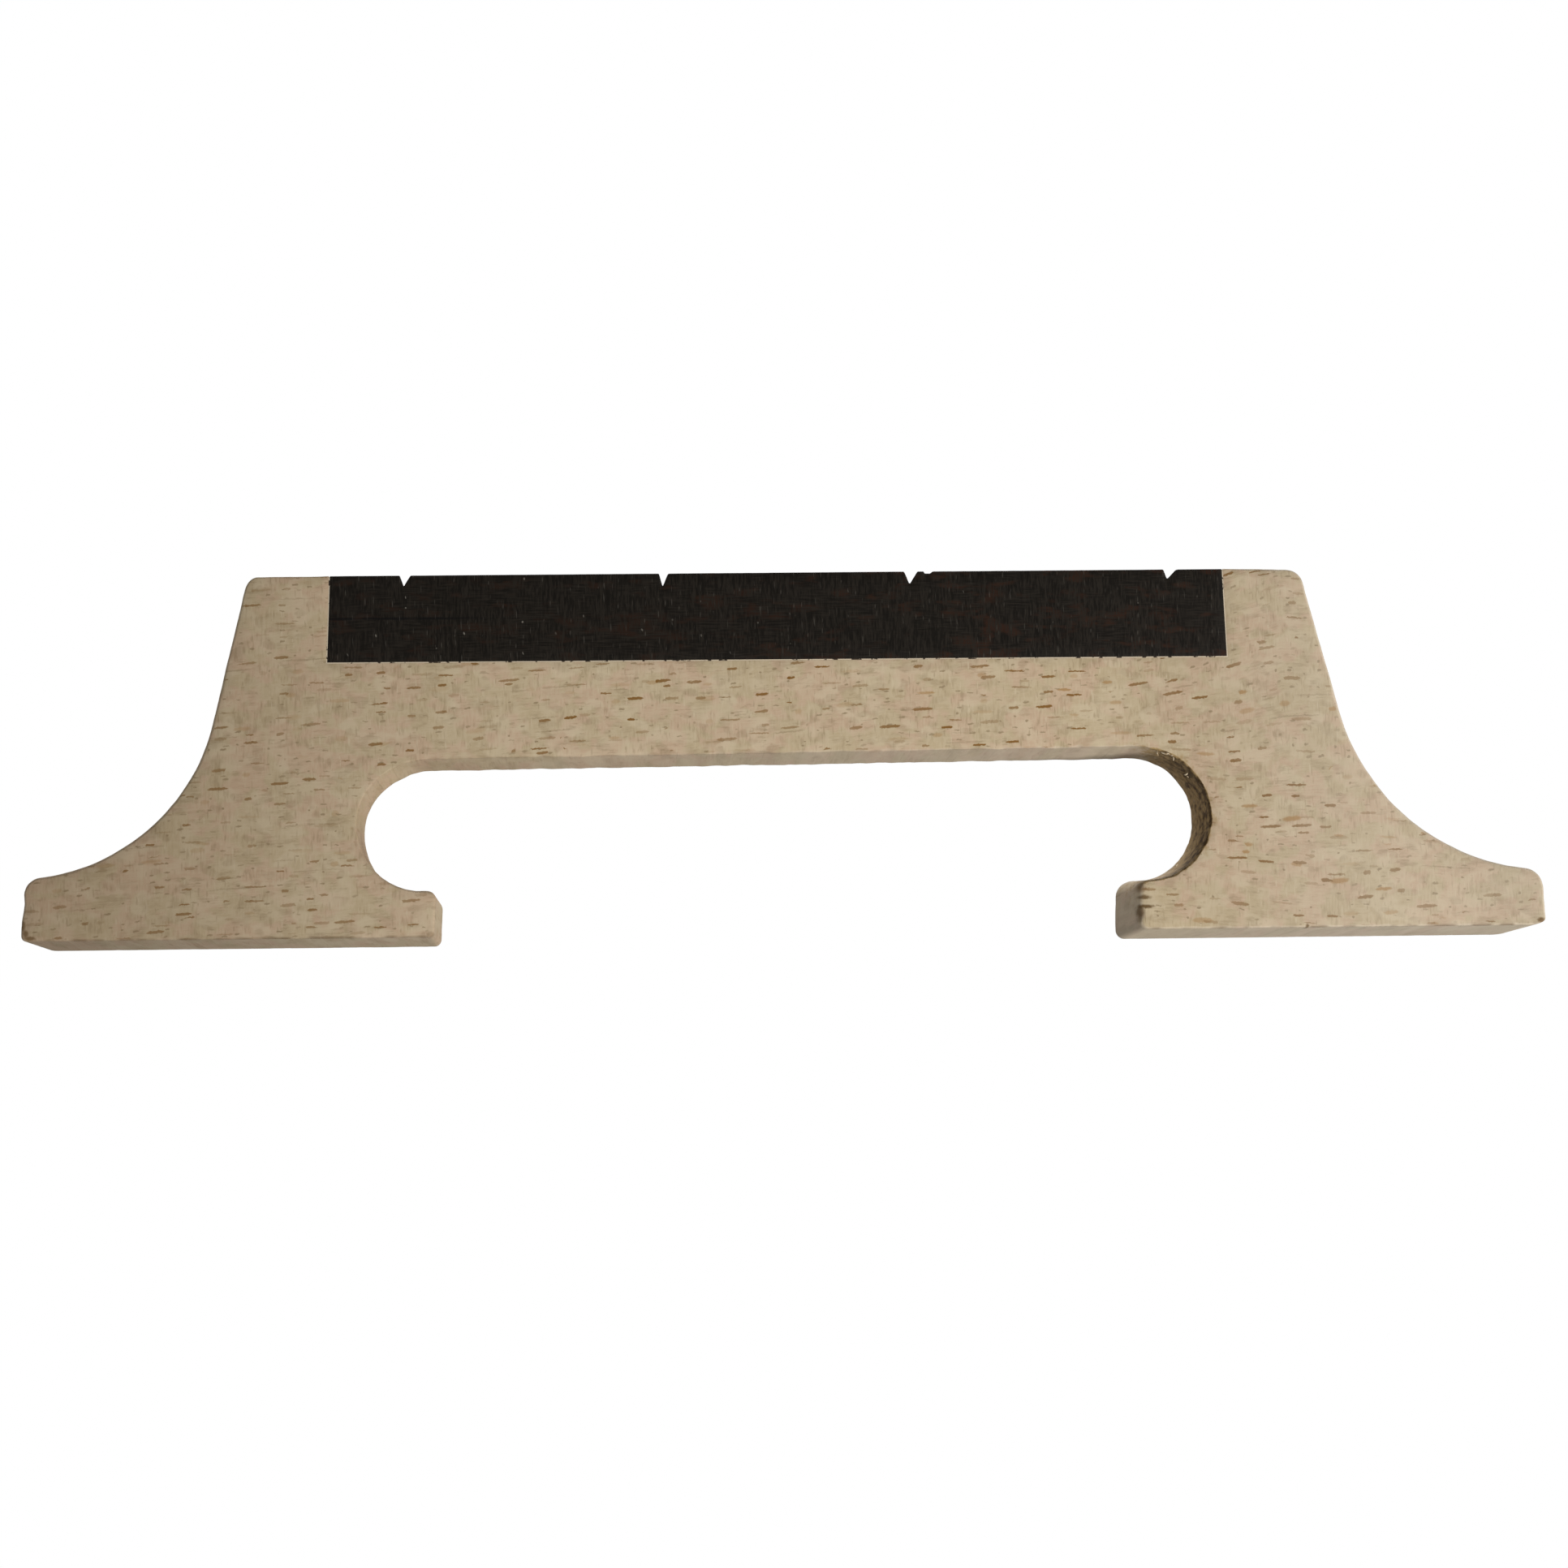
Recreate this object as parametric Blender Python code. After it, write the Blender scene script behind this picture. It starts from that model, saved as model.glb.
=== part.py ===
"""Tenor banjo bridge: a sawn beech body on two feet, with an ebony string bar let into its top.

Frame: metres, +Z up, origin at the middle of the two soles. X runs along the bridge, left foot
at -X. The flat face is at -Y and stands square to the soles. The face at +Y leans in, so the
bridge is thick at the feet and thin at the strings. The strings cross it along Y.
"""
import math

import bpy
import bmesh

MM = 0.001

# Driving dimensions, in millimetres.
HEIGHT = 16.05
FOOT_HALF_LENGTH = 33.47
BASE_THICKNESS = 6.35
TOP_THICKNESS = 2.7
EDGE_BREAK = 0.16

# The two flanks are shaped by hand, so each side has its own lean, sweep and foot tip.
LEFT_FLANK = {"top_x": 23.74, "lean": 13.06, "sweep_radius": 8.71, "tip_height": 2.67}
RIGHT_FLANK = {"top_x": 22.94, "lean": 14.18, "sweep_radius": 9.41, "tip_height": 2.42}
FOOT_TOP_SLOPE = 8.0
HORN_CORNER_RADIUS = 0.35
TIP_CORNER_RADIUS = 0.55
SOLE_CORNER_RADIUS = 0.3

# The arch between the feet: a flat ceiling and two round ends over short toes.
ARCH_CEILING = 7.98
ARCH_LEFT_REACH = 18.98
ARCH_RIGHT_REACH = 18.61
ARCH_END_RADIUS = 3.0
TOE_LEFT_HEIGHT = 2.02
TOE_RIGHT_HEIGHT = 2.16
TOE_LEFT_REACH = 15.54
TOE_RIGHT_REACH = 15.27
TOE_CORNER_RADIUS = 0.4

# The string bar, glued into a notch in the top. Its ends are cut a little out of square, so it
# is longer along its bottom than along its top.
BAR_CENTRE = -0.35
BAR_TOP_HALF_LENGTH = 19.79
BAR_BOTTOM_HALF_LENGTH = 19.91
BAR_HEIGHT = 3.92
GLUE_LINE = 0.05

# The string slots: where they are along the bar, and how wide and deep each is.
SLOTS = (
    {"x": -16.84, "width": 0.56, "depth": 0.50},
    {"x": -5.47, "width": 0.46, "depth": 0.60},
    {"x": 5.52, "width": 0.58, "depth": 0.60},
    {"x": 17.02, "width": 0.60, "depth": 0.45},
)
SLOT_BOTTOM_RADIUS = 0.1

# How closely the round stretches are followed.
ARC_STEP = math.radians(7.5)

BEECH = {"color": (0.46, 0.33, 0.20, 1.0), "roughness": 0.62}
EBONY = {"color": (0.017, 0.012, 0.009, 1.0), "roughness": 0.42}


def clear_scene():
    for item in list(bpy.data.objects):
        bpy.data.objects.remove(item)


def back_face_y(z):
    """How far back the leaning face is at height z."""
    lean = (BASE_THICKNESS - TOP_THICKNESS) / HEIGHT
    return BASE_THICKNESS / 2 - lean * z


def round_corner(before, corner, after):
    """Points of the arc that rounds a corner (x, z, radius) between its two neighbours."""
    x, z, radius = corner
    if radius == 0:
        return [(x, z)]
    to_before = math.atan2(before[1] - z, before[0] - x)
    to_after = math.atan2(after[1] - z, after[0] - x)
    opening = (to_after - to_before + math.pi) % (2 * math.pi) - math.pi
    half = abs(opening) / 2
    bisector = to_before + opening / 2
    centre_x = x + radius / math.sin(half) * math.cos(bisector)
    centre_z = z + radius / math.sin(half) * math.sin(bisector)
    turn = math.copysign(math.pi - abs(opening), -opening)
    start = bisector + math.pi - turn / 2
    steps = max(2, math.ceil(abs(turn) / ARC_STEP))
    angles = [start + turn * i / steps for i in range(steps + 1)]
    return [(centre_x + radius * math.cos(a), centre_z + radius * math.sin(a)) for a in angles]


def rounded_outline(corners):
    """The closed outline through corners (x, z, radius), anticlockwise seen from the front."""
    outline = []
    for i, corner in enumerate(corners):
        outline += round_corner(corners[i - 1], corner, corners[(i + 1) % len(corners)])
    return outline


def sweep_corner(side, flank):
    """Where the flank's leaning line would meet the top of the foot, and the sweep between."""
    lean = math.tan(math.radians(flank["lean"]))
    slope = math.tan(math.radians(FOOT_TOP_SLOPE))
    # x = top_x + lean * (HEIGHT - z) and z = tip_height + slope * (FOOT_HALF_LENGTH - x)
    rise = HEIGHT - flank["tip_height"]
    x = (flank["top_x"] + lean * (rise - slope * FOOT_HALF_LENGTH)) / (1 - lean * slope)
    z = flank["tip_height"] + slope * (FOOT_HALF_LENGTH - x)
    return (side * x, z, flank["sweep_radius"])


def foot_tip(side, flank):
    return (side * FOOT_HALF_LENGTH, flank["tip_height"], TIP_CORNER_RADIUS)


def body_outline():
    notch_top = BAR_TOP_HALF_LENGTH + GLUE_LINE
    notch_bottom = BAR_BOTTOM_HALF_LENGTH + GLUE_LINE
    notch_floor = HEIGHT - BAR_HEIGHT - GLUE_LINE
    return rounded_outline([
        (-FOOT_HALF_LENGTH, 0, SOLE_CORNER_RADIUS),
        (-TOE_LEFT_REACH, 0, TOE_CORNER_RADIUS),
        (-TOE_LEFT_REACH, TOE_LEFT_HEIGHT, TOE_CORNER_RADIUS),
        (-ARCH_LEFT_REACH, TOE_LEFT_HEIGHT, ARCH_END_RADIUS),
        (-ARCH_LEFT_REACH, ARCH_CEILING, ARCH_END_RADIUS),
        (ARCH_RIGHT_REACH, ARCH_CEILING, ARCH_END_RADIUS),
        (ARCH_RIGHT_REACH, TOE_RIGHT_HEIGHT, ARCH_END_RADIUS),
        (TOE_RIGHT_REACH, TOE_RIGHT_HEIGHT, TOE_CORNER_RADIUS),
        (TOE_RIGHT_REACH, 0, TOE_CORNER_RADIUS),
        (FOOT_HALF_LENGTH, 0, SOLE_CORNER_RADIUS),
        foot_tip(1, RIGHT_FLANK),
        sweep_corner(1, RIGHT_FLANK),
        (RIGHT_FLANK["top_x"], HEIGHT, HORN_CORNER_RADIUS),
        (BAR_CENTRE + notch_top, HEIGHT, 0),
        (BAR_CENTRE + notch_bottom, notch_floor, 0),
        (BAR_CENTRE - notch_bottom, notch_floor, 0),
        (BAR_CENTRE - notch_top, HEIGHT, 0),
        (-LEFT_FLANK["top_x"], HEIGHT, HORN_CORNER_RADIUS),
        sweep_corner(-1, LEFT_FLANK),
        foot_tip(-1, LEFT_FLANK),
    ])


def bar_outline():
    bottom = HEIGHT - BAR_HEIGHT
    corners = [
        (BAR_CENTRE - BAR_BOTTOM_HALF_LENGTH, bottom, 0),
        (BAR_CENTRE + BAR_BOTTOM_HALF_LENGTH, bottom, 0),
        (BAR_CENTRE + BAR_TOP_HALF_LENGTH, HEIGHT, 0),
    ]
    for slot in reversed(SLOTS):
        corners.append((slot["x"] + slot["width"] / 2, HEIGHT, 0))
        corners.append((slot["x"], HEIGHT - slot["depth"], SLOT_BOTTOM_RADIUS))
        corners.append((slot["x"] - slot["width"] / 2, HEIGHT, 0))
    corners.append((BAR_CENTRE - BAR_TOP_HALF_LENGTH, HEIGHT, 0))
    return rounded_outline(corners)


def in_notch(point):
    """True for the body outline's points on the notch, whose edges stay square for the bar."""
    reach = BAR_BOTTOM_HALF_LENGTH + GLUE_LINE + 0.01
    return abs(point[0] - BAR_CENTRE) < reach and point[1] > ARCH_CEILING + 1


def plate(name, outline, material, square_edges):
    """A solid with the outline on both faces, the front one upright and the back one leaning."""
    shape = bmesh.new()
    weight = shape.edges.layers.float.new("bevel_weight_edge")
    front = [shape.verts.new((x * MM, -BASE_THICKNESS / 2 * MM, z * MM)) for x, z in outline]
    back = [shape.verts.new((x * MM, back_face_y(z) * MM, z * MM)) for x, z in outline]
    shape.faces.new(front)
    shape.faces.new(reversed(back))
    for i in range(len(outline)):
        j = (i + 1) % len(outline)
        shape.faces.new((front[j], front[i], back[i], back[j]))
        if square_edges(outline[i]) and square_edges(outline[j]):
            continue
        shape.edges.get((front[i], front[j]))[weight] = 1.0
        shape.edges.get((back[i], back[j]))[weight] = 1.0
    mesh = bpy.data.meshes.new(name)
    shape.to_mesh(mesh)
    shape.free()
    mesh.materials.append(material)
    solid = bpy.data.objects.new(name, mesh)
    bpy.context.scene.collection.objects.link(solid)
    mesh.shade_smooth()
    mesh.set_sharp_from_angle(angle=math.radians(30))
    return solid


def break_edges(solid, width):
    """Sands the solid's outer edges to a narrow round."""
    bevel = solid.modifiers.new("edge_break", "BEVEL")
    bevel.limit_method = "WEIGHT"
    bevel.width = width * MM
    bevel.segments = 2
    bevel.use_clamp_overlap = False


def wood(name, look):
    material = bpy.data.materials.new(name)
    material.use_nodes = True
    shader = material.node_tree.nodes["Principled BSDF"]
    shader.inputs["Base Color"].default_value = look["color"]
    shader.inputs["Roughness"].default_value = look["roughness"]
    shader.inputs["Metallic"].default_value = 0.0
    return material


def make_body():
    body = plate("bridge_body", body_outline(), wood("beech", BEECH), in_notch)
    break_edges(body, EDGE_BREAK)
    return body


def make_bar():
    return plate("string_bar", bar_outline(), wood("ebony", EBONY), lambda point: True)


clear_scene()
make_body()
make_bar()
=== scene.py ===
"""The looks of the tenor banjo bridge: hand-worked beech body, ebony string bar, glue line, torn fibres.

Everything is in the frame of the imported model: metres, +Z up, the soles at z = 0, the flat face at -Y.
Shapes are worked out in millimetres and turned into metres when their meshes are made.
"""

import math

import bpy
import numpy as np
from mathutils import Matrix, Vector, noise
from mathutils.geometry import delaunay_2d_cdt


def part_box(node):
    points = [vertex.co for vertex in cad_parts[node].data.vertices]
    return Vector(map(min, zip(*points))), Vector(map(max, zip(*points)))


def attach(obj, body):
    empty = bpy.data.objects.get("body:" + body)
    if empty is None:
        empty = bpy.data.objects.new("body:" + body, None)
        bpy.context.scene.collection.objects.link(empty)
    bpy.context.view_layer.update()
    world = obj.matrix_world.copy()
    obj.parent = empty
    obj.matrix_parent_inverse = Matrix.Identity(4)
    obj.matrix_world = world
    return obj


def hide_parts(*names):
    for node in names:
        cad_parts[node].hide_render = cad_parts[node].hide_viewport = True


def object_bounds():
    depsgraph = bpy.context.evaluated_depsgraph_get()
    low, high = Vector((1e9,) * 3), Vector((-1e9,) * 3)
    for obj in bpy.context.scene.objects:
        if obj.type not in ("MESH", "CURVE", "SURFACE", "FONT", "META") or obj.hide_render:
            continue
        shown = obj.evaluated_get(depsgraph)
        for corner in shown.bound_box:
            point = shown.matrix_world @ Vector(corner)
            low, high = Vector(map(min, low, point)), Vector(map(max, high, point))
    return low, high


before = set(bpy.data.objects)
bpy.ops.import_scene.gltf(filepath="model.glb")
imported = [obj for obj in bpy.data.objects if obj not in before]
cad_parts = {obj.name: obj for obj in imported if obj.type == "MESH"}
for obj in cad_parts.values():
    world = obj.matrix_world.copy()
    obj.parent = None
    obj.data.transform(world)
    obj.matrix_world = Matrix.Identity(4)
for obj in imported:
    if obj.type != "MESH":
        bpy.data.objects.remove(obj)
cad_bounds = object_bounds()

MM = 0.001
LOWEST, HIGHEST = (tuple(c / MM for c in place) for place in cad_bounds)


def box_mm(node):
    low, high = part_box(node)
    return low / MM, high / MM


body_low, body_high = box_mm("bridge_body")
bar_low, bar_high = box_mm("string_bar")

# ---------------------------------------------------------------------------------------------
# Sizes, in millimetres, and angles, in degrees. Those that the frame holds come from the frame.
# ---------------------------------------------------------------------------------------------
HEIGHT = body_high.z
FOOT_HALF_LENGTH = body_high.x
FRONT_Y = body_low.y
BASE_THICKNESS = -2 * FRONT_Y
TOP_THICKNESS = 2.7
GLUE_LINE = 0.05
GLUE_SUNK = 0.03
BAR_BOTTOM = bar_low.z
BAR_LEFT = bar_low.x
BAR_RIGHT = bar_high.x
BAR_TAPER = 0.12

# The top isn't quite level: it is lower towards the left horn, and each horn drops to its corner.
TOP_DROP = 0.075
LEFT_HORN_DROP = 0.09
RIGHT_HORN_DROP = 0.07
RIGHT_HORN_LEVEL_TO = 21.2

# The two flanks are shaped by hand, so each side has its own lean, sweep and foot tip.
LEFT_FLANK = {"top_x": 23.74, "lean": 13.06, "sweep_radius": 8.71, "tip_height": 2.67}
RIGHT_FLANK = {"top_x": 22.94, "lean": 14.18, "sweep_radius": 9.41, "tip_height": 2.42}
FOOT_TOP_SLOPE = 8.0

# The tips' ends aren't upright: how far in from the full length they stand. The left one is
# hollow at half height and upright only near its sole.
RIGHT_TIP_IN = 0.10
LEFT_TIP_IN = 0.05
LEFT_HOLLOW_IN = 0.13
LEFT_HOLLOW_HEIGHT = 1.6
LEFT_UPRIGHT_HEIGHT = 0.75

# The arch: how far its round ends reach, and its ceiling, which climbs from left to right.
ARCH_LEFT = -18.99
ARCH_RIGHT = 18.61
CEILING_LEFT = 7.80
CEILING_RIGHT = 8.13

# The toes under the ends of the arch. The right one is higher and longer at the back.
TOE_LEFT = -15.52
TOE_LEFT_SOLE = -15.62
TOE_LEFT_HEIGHT = 2.02
TOE_RIGHT = 15.29
TOE_RIGHT_HEIGHT = 2.17
TOE_RIGHT_BACK = -0.16
TOE_RIGHT_RISE = 0.45
ARCH_RIGHT_RISE = 0.36

# How finely the meshes follow the shape.
OUTLINE_STEP = 0.13
CURVE_SHARE = 0.85
LEAST_BENDS = 6
WALL_ROWS = 20
EDGE_RINGS = 3
FACE_STEP = 0.5
SHARP_ANGLE = 50.0


def back_y(z):
    """How far back the leaning face is at height z."""
    return BASE_THICKNESS / 2 - (BASE_THICKNESS - TOP_THICKNESS) * z / HEIGHT


# ---------------------------------------------------------------------------------------------
# Outlines: a polygon whose corners are rounded off, each by a cut along its two legs
# ---------------------------------------------------------------------------------------------
def corner(x, z, wall, radius=0.0, cut=None, back=(0.0, 0.0), back_cut=None, split=0.5):
    """A corner at (x, z). wall names the wall that follows it, anticlockwise from the front.

    It is rounded to a radius, or by cut = (length before, length after) for an uneven ease.
    back shifts the corner where it meets the back face, and back_cut is the ease there.
    split is how much of the round belongs to the wall before it.
    """
    return {"at": (x, z), "wall": wall, "radius": radius, "cut": cut, "back": back,
            "back_cut": back_cut or cut, "split": split}


def corner_curve(before, item, after, on_back):
    """The curve that rounds one corner: its start, its two handles and its end."""
    at = Vector(item["at"])
    to_before = (before - at).normalized()
    to_after = (after - at).normalized()
    opening = max(to_before.angle(to_after), 0.01)
    cut = item["back_cut"] if on_back else item["cut"]
    lengths = cut or (item["radius"] / math.tan(opening / 2),) * 2
    turn = math.pi - opening
    reach = 4 / 3 * math.tan(turn / 4) / max(math.tan(turn / 2), 1e-6)
    start = at + to_before * lengths[0]
    end = at + to_after * lengths[1]
    return start, start.lerp(at, reach), end.lerp(at, reach), end


def bezier(curve, t):
    a, b, c, d = curve
    s = 1 - t
    return a * s ** 3 + b * (3 * s * s * t) + c * (3 * s * t * t) + d * t ** 3


def trace(corners, on_back=False, counts=None):
    """Points round the outline, the wall each belongs to, and how many each stretch took."""
    items = [dict(item) for item in corners]
    if on_back:
        for item in items:
            item["at"] = (item["at"][0] + item["back"][0], item["at"][1] + item["back"][1])
    places = [Vector(item["at"]) for item in items]
    curves = [
        corner_curve(places[i - 1], items[i], places[(i + 1) % len(items)], on_back)
        for i in range(len(items))
    ]
    points, walls, taken = [], [], []
    for i, item in enumerate(items):
        curve, following = curves[i], curves[(i + 1) % len(items)]
        length = (curve[0] - places[i]).length + (curve[3] - places[i]).length
        if length < 1e-6:
            bends = 0
        else:
            bends = max(LEAST_BENDS, math.ceil(CURVE_SHARE * length / OUTLINE_STEP))
        run = (following[0] - curve[3]).length
        steps = max(1, math.ceil(run / OUTLINE_STEP))
        if counts:
            bends, steps = counts[i]
        taken.append((bends, steps))
        for k in range(bends):
            points.append(bezier(curve, k / bends))
            walls.append(items[i - 1]["wall"] if k < bends * item["split"] else item["wall"])
        for k in range(steps):
            points.append(curve[3].lerp(following[0], k / steps))
            walls.append(item["wall"])
    return np.array([tuple(p) for p in points]), walls, taken


def outward(points):
    """Unit normals of a closed anticlockwise outline, pointing out of the material."""
    along = np.roll(points, -1, 0) - np.roll(points, 1, 0)
    along /= np.maximum(np.linalg.norm(along, axis=1, keepdims=True), 1e-9)
    return np.stack([along[:, 1], -along[:, 0]], 1)


def smoothed(values, rounds):
    """Evens out a list of values round a closed outline."""
    for _ in range(rounds):
        values = (np.roll(values, 1) + 2 * values + np.roll(values, -1)) / 4
    return values


# ---------------------------------------------------------------------------------------------
# Plates: a solid between a front and a back outline, with worn edges and uneven walls
# ---------------------------------------------------------------------------------------------
# How each wall is worked, in millimetres: edge is how far its edges are rounded, nick how
# unevenly, ripple the height of the saw and file marks across it, and rough its fine fibre.
# Then how it is coloured, from 0 to 1: scorch by the saw, painted shade that darkens it, dirt along its
# edge.
WALLS = {
    "sole": {"edge": 0.10, "nick": 0.05, "ripple": 0.010, "rough": 0.008, "dirt": 0.6},
    "toe_end": {"edge": 0.20, "nick": 0.05, "ripple": 0.015, "rough": 0.010, "painted_shade": 0.24},
    "toe_top": {"edge": 0.11, "nick": 0.04, "ripple": 0.010, "rough": 0.010, "painted_shade": 0.16},
    "left_arch": {"edge": 0.17, "nick": 0.04, "ripple": 0.012, "rough": 0.010, "painted_shade": 0.24},
    "ceiling": {"edge": 0.07, "nick": 0.12, "ripple": 0.030, "rough": 0.012, "painted_shade": 0.08, "dirt": 0.3},
    "right_arch": {"edge": 0.09, "nick": 0.05, "ripple": 0.030, "rough": 0.018, "scorch": 1.0},
    "right_toe_top": {"edge": 0.12, "nick": 0.05, "ripple": 0.020, "rough": 0.015, "scorch": 0.7},
    "right_toe_end": {"edge": 0.30, "nick": 0.06, "ripple": 0.020, "rough": 0.012,
                      "scorch": 0.12, "painted_shade": 0.06},
    "tip_end": {"edge": 0.12, "nick": 0.03, "ripple": 0.020, "rough": 0.010, "dirt": 0.1},
    "flank": {"edge": 0.13, "nick": 0.04, "ripple": 0.014, "rough": 0.006},
    "top": {"edge": 0.08, "nick": 0.03, "ripple": 0.006, "rough": 0.006},
    "notch": {"edge": 0.014},
    "bar": {"edge": 0.025, "nick": 0.01, "rough": 0.002},
    "slot": {"edge": 0.035, "nick": 0.02, "ripple": 0.006, "rough": 0.010},
    "glue": {"edge": 0.008},
}
WORKINGS = ("edge", "nick", "ripple", "rough", "scorch", "painted_shade", "dirt")

# These walls stay square and even. The others blend into each other, and the scorch the widest.
SQUARE_WALLS = ("notch", "glue")
BLEND_ROUNDS = 16
SCORCH_ROUNDS = 80

# The noises that work the walls: what size they have along X, Y and Z, and which draw they are.
NICKS = {"size": (0.45, 1, 0.45), "seed": 7}
WEAR = {"size": (2.2, 1, 2.2), "seed": 3}
SAW_MARKS = {"size": (0.8, 9, 0.8), "seed": 11}
FILE_MARKS = {"size": (2.6, 5, 2.6), "seed": 17}
FINE_FIBRE = {"size": (0.28, 0.5, 0.2), "seed": 23}
WEAR_SHARE = 0.35
LEAST_EDGE = 0.008

# How much of each tint a face takes beside its edge, and how much scorch fades towards the back.
FACE_TINT = {"scorch": 0.3, "painted_shade": 0.3, "dirt": 0.2}
SCORCH_FADE = 0.45


def wander(x, y, z, size, seed):
    """Smooth noise from -1 to 1 that changes over about size millimetres along each axis."""
    return noise.noise(Vector((x / size[0] + seed, y / size[1] - seed, z / size[2] + 2 * seed)))


def wall_workings(walls):
    """How each point of an outline is worked: its wall's values, blended into the next wall's."""
    square = np.array([wall in SQUARE_WALLS for wall in walls])
    away = np.clip(1 - smoothed(square.astype(float), BLEND_ROUNDS) * 2, 0, 1)
    away[square] = 0
    worked = {}
    for key in WORKINGS:
        values = np.array([WALLS[wall].get(key, 0.0) for wall in walls])
        even = smoothed(values, SCORCH_ROUNDS if key == "scorch" else BLEND_ROUNDS)
        worked[key] = np.where(square, values, even * away + values.min() * (1 - away))
    return worked


def edge_radius(points, side, worked):
    """How far the edge between the walls and one face is rounded, at each point."""
    nick = np.array([wander(x, side, z, **NICKS) for x, z in points])
    slow = np.array([wander(x, side, z, **WEAR) for x, z in points])
    wide = worked["edge"] * (1 + WEAR_SHARE * slow) + worked["nick"] * np.clip(nick, -0.3, 1)
    return np.clip(wide, LEAST_EDGE, None)


def relief(points, y, worked):
    """How far the saw, the file and the fibre raise each point of a ring."""
    out = np.zeros(len(points))
    for i, (x, z) in enumerate(points):
        ripple, rough = worked["ripple"][i], worked["rough"][i]
        if ripple > 0:
            out[i] += ripple * wander(x, y[i], z, **SAW_MARKS)
            out[i] += 0.5 * ripple * wander(x, y[i], z, **FILE_MARKS)
        if rough > 0:
            out[i] += rough * wander(x, y[i], z, **FINE_FIBRE)
    return out


def plate_rings(corners, rows, inset):
    """Rings of points round the walls, from the front face to the back, and their workings."""
    front, walls, counts = trace(corners)
    back, _, _ = trace(corners, on_back=True, counts=counts)
    worked = wall_workings(walls)
    normal_front, normal_back = outward(front), outward(back)
    radius_front, radius_back = edge_radius(front, -1.0, worked), edge_radius(back, 1.0, worked)
    y_front = np.full(len(front), FRONT_Y + inset)
    y_back = np.array([back_y(z) for z in back[:, 1]]) - inset

    def ring(t, y, inward=0.0):
        """The ring at share t of the way through, at depths y, moved in from the outline."""
        points = front * (1 - t) + back * t
        normals = normal_front * (1 - t) + normal_back * t
        shift = relief(points, y, worked) - inward
        moved = points + normals * shift[:, None]
        return np.clip(np.stack([moved[:, 0], y, moved[:, 1]], 1), LOWEST, HIGHEST)

    rings = []
    angles = [math.pi / 2 * (1 - k / EDGE_RINGS) for k in range(EDGE_RINGS)]
    for angle in angles:
        depth = radius_front * (1 - math.sin(angle))
        rings.append(ring(0.0, y_front + depth, radius_front * (1 - math.cos(angle))))
    start, end = y_front + radius_front, y_back - radius_back
    for k in range(rows + 1):
        t = k / rows
        rings.append(ring(t, start * (1 - t) + end * t))
    for angle in reversed(angles):
        depth = radius_back * (1 - math.sin(angle))
        rings.append(ring(1.0, y_back - depth, radius_back * (1 - math.cos(angle))))
    return rings, worked


def make_piece(name, places, faces, material):
    """A smooth mesh object from places in millimetres."""
    mesh = bpy.data.meshes.new(name)
    mesh.from_pydata([tuple(c * MM for c in p) for p in places], [], faces)
    mesh.validate()
    mesh.materials.append(material)
    mesh.shade_smooth()
    piece = bpy.data.objects.new(name, mesh)
    bpy.context.scene.collection.objects.link(piece)
    return piece


def tint_walls(mesh, ring_count, rows, worked):
    """Writes each point's scorch, painted shade and dirt, and whether it is on a wall, for the material.
    """
    n = len(worked["edge"])
    tints = {key: np.zeros(len(mesh.vertices), np.float32) for key in (*FACE_TINT, "wall")}
    for r in range(ring_count):
        ring = slice(r * n, (r + 1) * n)
        on_face = r in (0, ring_count - 1)
        share = FACE_TINT if on_face else {"scorch": 1, "painted_shade": 1, "dirt": 1}
        depth = np.clip((r - EDGE_RINGS) / rows, 0, 1)
        fade = 1 if on_face else 1 - SCORCH_FADE * depth
        tints["scorch"][ring] = worked["scorch"] * share["scorch"] * fade
        tints["painted_shade"][ring] = worked["painted_shade"] * share["painted_shade"]
        tints["dirt"][ring] = worked["dirt"] * share["dirt"] * (r <= EDGE_RINGS)
        tints["wall"][ring] = 0 if on_face else 1
    for label, values in tints.items():
        mesh.attributes.new(label, "FLOAT", "POINT").data.foreach_set("value", values)


def plate(name, corners, material, rows=WALL_ROWS, face_step=FACE_STEP, inset=0.0):
    """A closed mesh between the outline on the front face and the one on the leaning back face."""
    rings, worked = plate_rings(corners, rows, inset)
    n = len(rings[0])
    places = [tuple(p) for ring in rings for p in ring]
    faces = []
    for r in range(len(rings) - 1):
        for i in range(n):
            j = (i + 1) % n
            faces.append((r * n + j, r * n + i, (r + 1) * n + i, (r + 1) * n + j))
    cover(places, faces, rings[0], 0, face_step, lambda z: FRONT_Y + inset, False)
    last = (len(rings) - 1) * n
    cover(places, faces, rings[-1], last, face_step, lambda z: back_y(z) - inset, True)
    piece = make_piece(name, places, faces, material)
    tint_walls(piece.data, len(rings), rows, worked)
    piece.data.set_sharp_from_angle(angle=math.radians(SHARP_ANGLE))
    return piece


# The grid that a face is covered with: its rows are this much of a step apart, and its points
# keep this much of a step away from the face's edge.
GRID_ROW = 0.87
GRID_CLEAR = 0.55


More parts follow.
